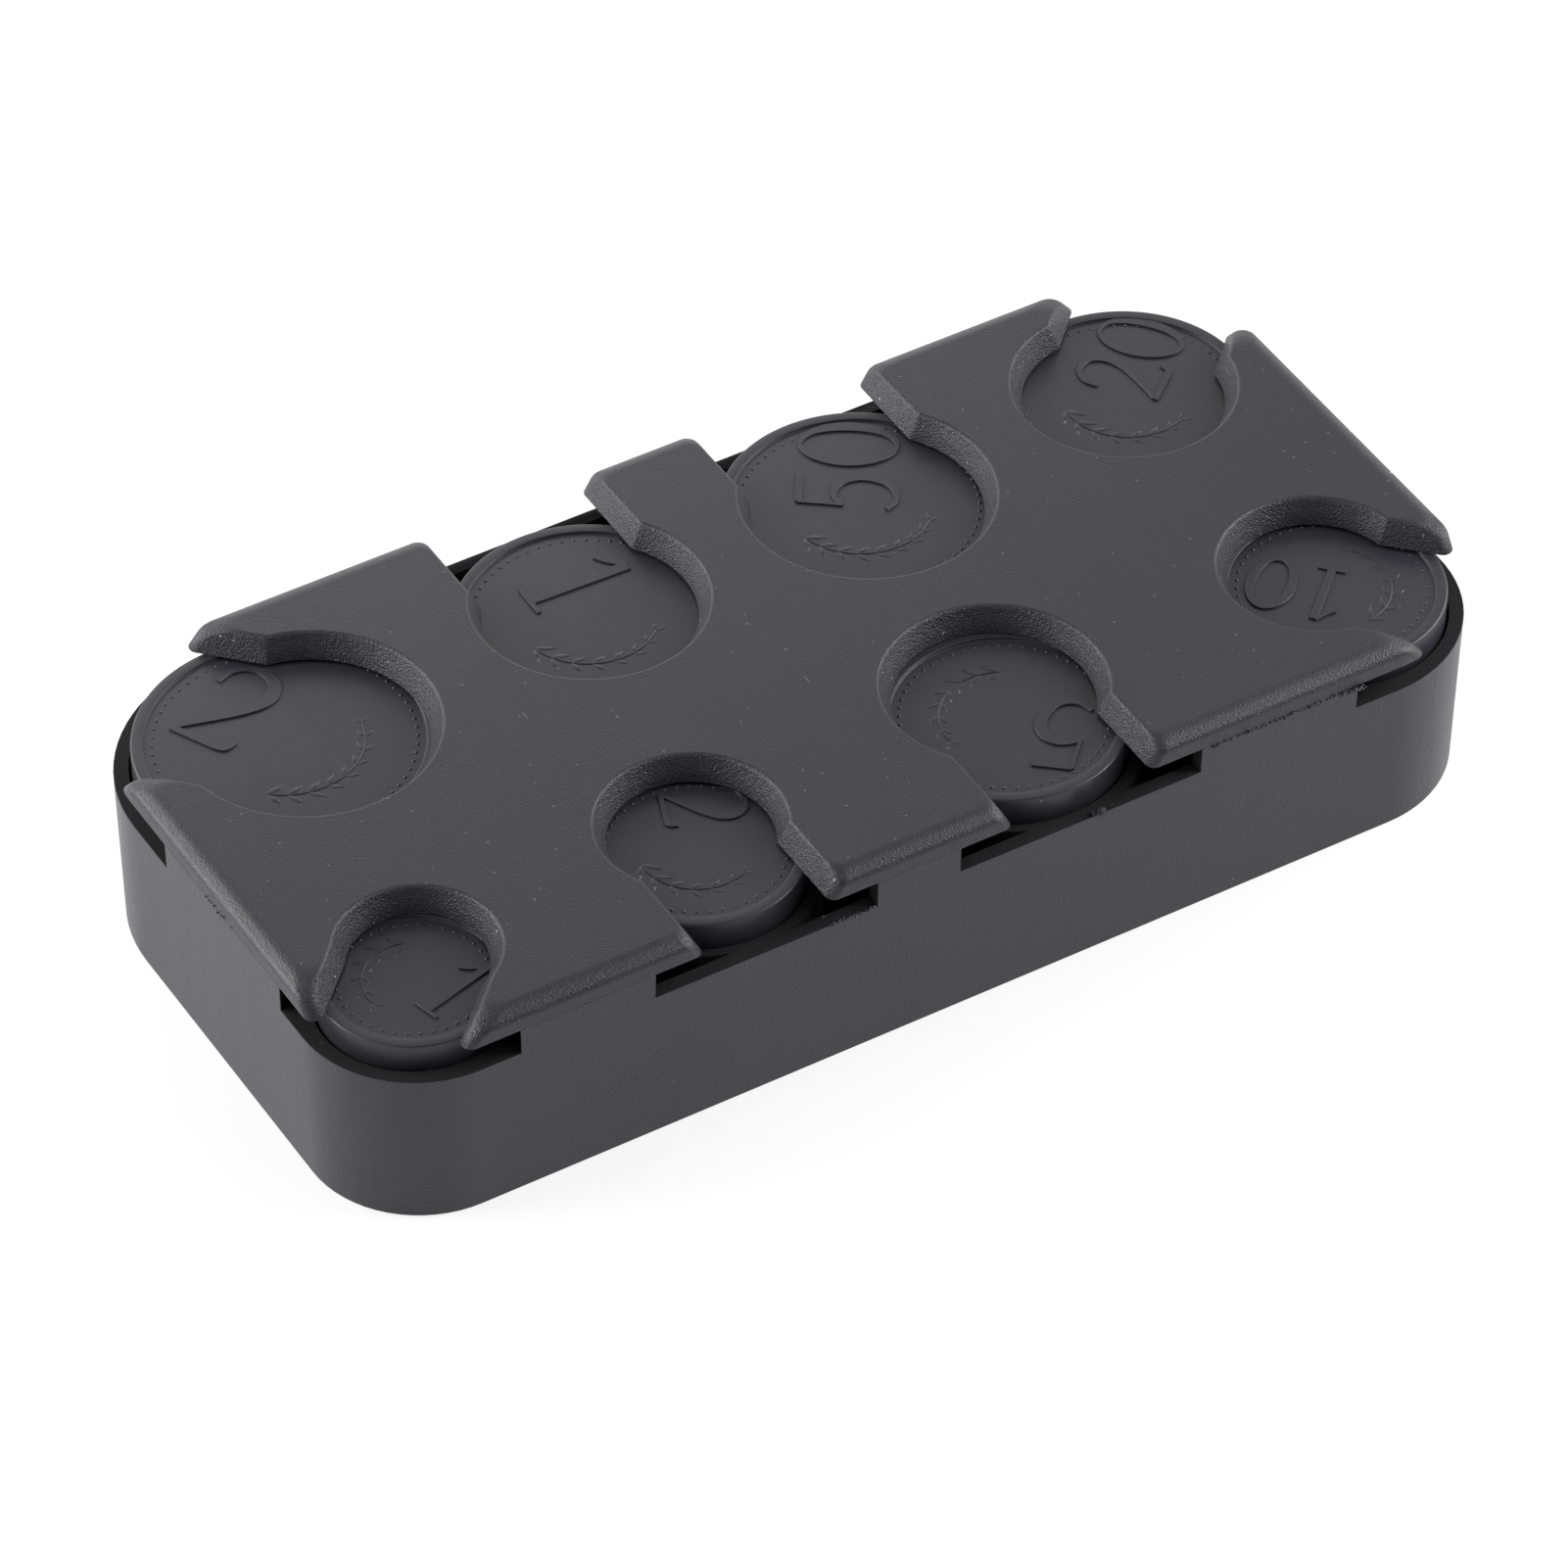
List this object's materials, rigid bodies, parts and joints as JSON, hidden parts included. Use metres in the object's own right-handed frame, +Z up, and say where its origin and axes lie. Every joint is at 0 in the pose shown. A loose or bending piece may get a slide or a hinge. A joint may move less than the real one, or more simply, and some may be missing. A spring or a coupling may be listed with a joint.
{
  "type": "coin holder",
  "caption": "Flat rounded pocket coin holder with spring-loaded coin-shaped plungers in round wells under a cover with keyhole thumb openings and edge slots for the coins.",
  "frame": {"origin": "middle of the resting face under the tray", "axes": "+X along the case, towards the end with the 20 cent and 10 cent wells; +Y across it, towards the row with the largest coins; +Z up, out of the cover"},
  "size_m": [0.112, 0.055, 0.0204],
  "materials": {
    "tray_plastic": "smooth satin charcoal",
    "cover_plastic": "fine matt grain, charcoal",
    "plunger_plastic": "smooth satin charcoal",
    "spring_steel": "bright drawn wire"
  },
  "bodies": {
    "case": {"base_tray": "tray_plastic", "cover_plate": "cover_plastic", "spring_2_euro": "spring_steel", "spring_1_euro": "spring_steel", "spring_50_cent": "spring_steel", "spring_20_cent": "spring_steel", "spring_10_cent": "spring_steel", "spring_5_cent": "spring_steel", "spring_2_cent": "spring_steel", "spring_1_cent": "spring_steel"},
    "plunger_2_euro": {"plunger_2_euro": "plunger_plastic"},
    "plunger_1_euro": {"plunger_1_euro": "plunger_plastic"},
    "plunger_50_cent": {"plunger_50_cent": "plunger_plastic"},
    "plunger_20_cent": {"plunger_20_cent": "plunger_plastic"},
    "plunger_10_cent": {"plunger_10_cent": "plunger_plastic"},
    "plunger_5_cent": {"plunger_5_cent": "plunger_plastic"},
    "plunger_2_cent": {"plunger_2_cent": "plunger_plastic"},
    "plunger_1_cent": {"plunger_1_cent": "plunger_plastic"}
  },
  "joints": [
    {"name": "press_2_euro", "type": "slide", "parent": "case", "child": "plunger_2_euro", "axis": [0, 0, -1], "range_m": [0, 0.01015], "stiffness_N_per_m": 60, "springref_m": -0.008, "deforming": ["spring_2_euro"]},
    {"name": "press_1_euro", "type": "slide", "parent": "case", "child": "plunger_1_euro", "axis": [0, 0, -1], "range_m": [0, 0.01015], "stiffness_N_per_m": 60, "springref_m": -0.008, "deforming": ["spring_1_euro"]},
    {"name": "press_50_cent", "type": "slide", "parent": "case", "child": "plunger_50_cent", "axis": [0, 0, -1], "range_m": [0, 0.01015], "stiffness_N_per_m": 60, "springref_m": -0.008, "deforming": ["spring_50_cent"]},
    {"name": "press_20_cent", "type": "slide", "parent": "case", "child": "plunger_20_cent", "axis": [0, 0, -1], "range_m": [0, 0.01015], "stiffness_N_per_m": 60, "springref_m": -0.008, "deforming": ["spring_20_cent"]},
    {"name": "press_10_cent", "type": "slide", "parent": "case", "child": "plunger_10_cent", "axis": [0, 0, -1], "range_m": [0, 0.01015], "stiffness_N_per_m": 60, "springref_m": -0.008, "deforming": ["spring_10_cent"]},
    {"name": "press_5_cent", "type": "slide", "parent": "case", "child": "plunger_5_cent", "axis": [0, 0, -1], "range_m": [0, 0.01015], "stiffness_N_per_m": 60, "springref_m": -0.008, "deforming": ["spring_5_cent"]},
    {"name": "press_2_cent", "type": "slide", "parent": "case", "child": "plunger_2_cent", "axis": [0, 0, -1], "range_m": [0, 0.01015], "stiffness_N_per_m": 60, "springref_m": -0.008, "deforming": ["spring_2_cent"]},
    {"name": "press_1_cent", "type": "slide", "parent": "case", "child": "plunger_1_cent", "axis": [0, 0, -1], "range_m": [0, 0.01015], "stiffness_N_per_m": 60, "springref_m": -0.008, "deforming": ["spring_1_cent"]}
  ]
}
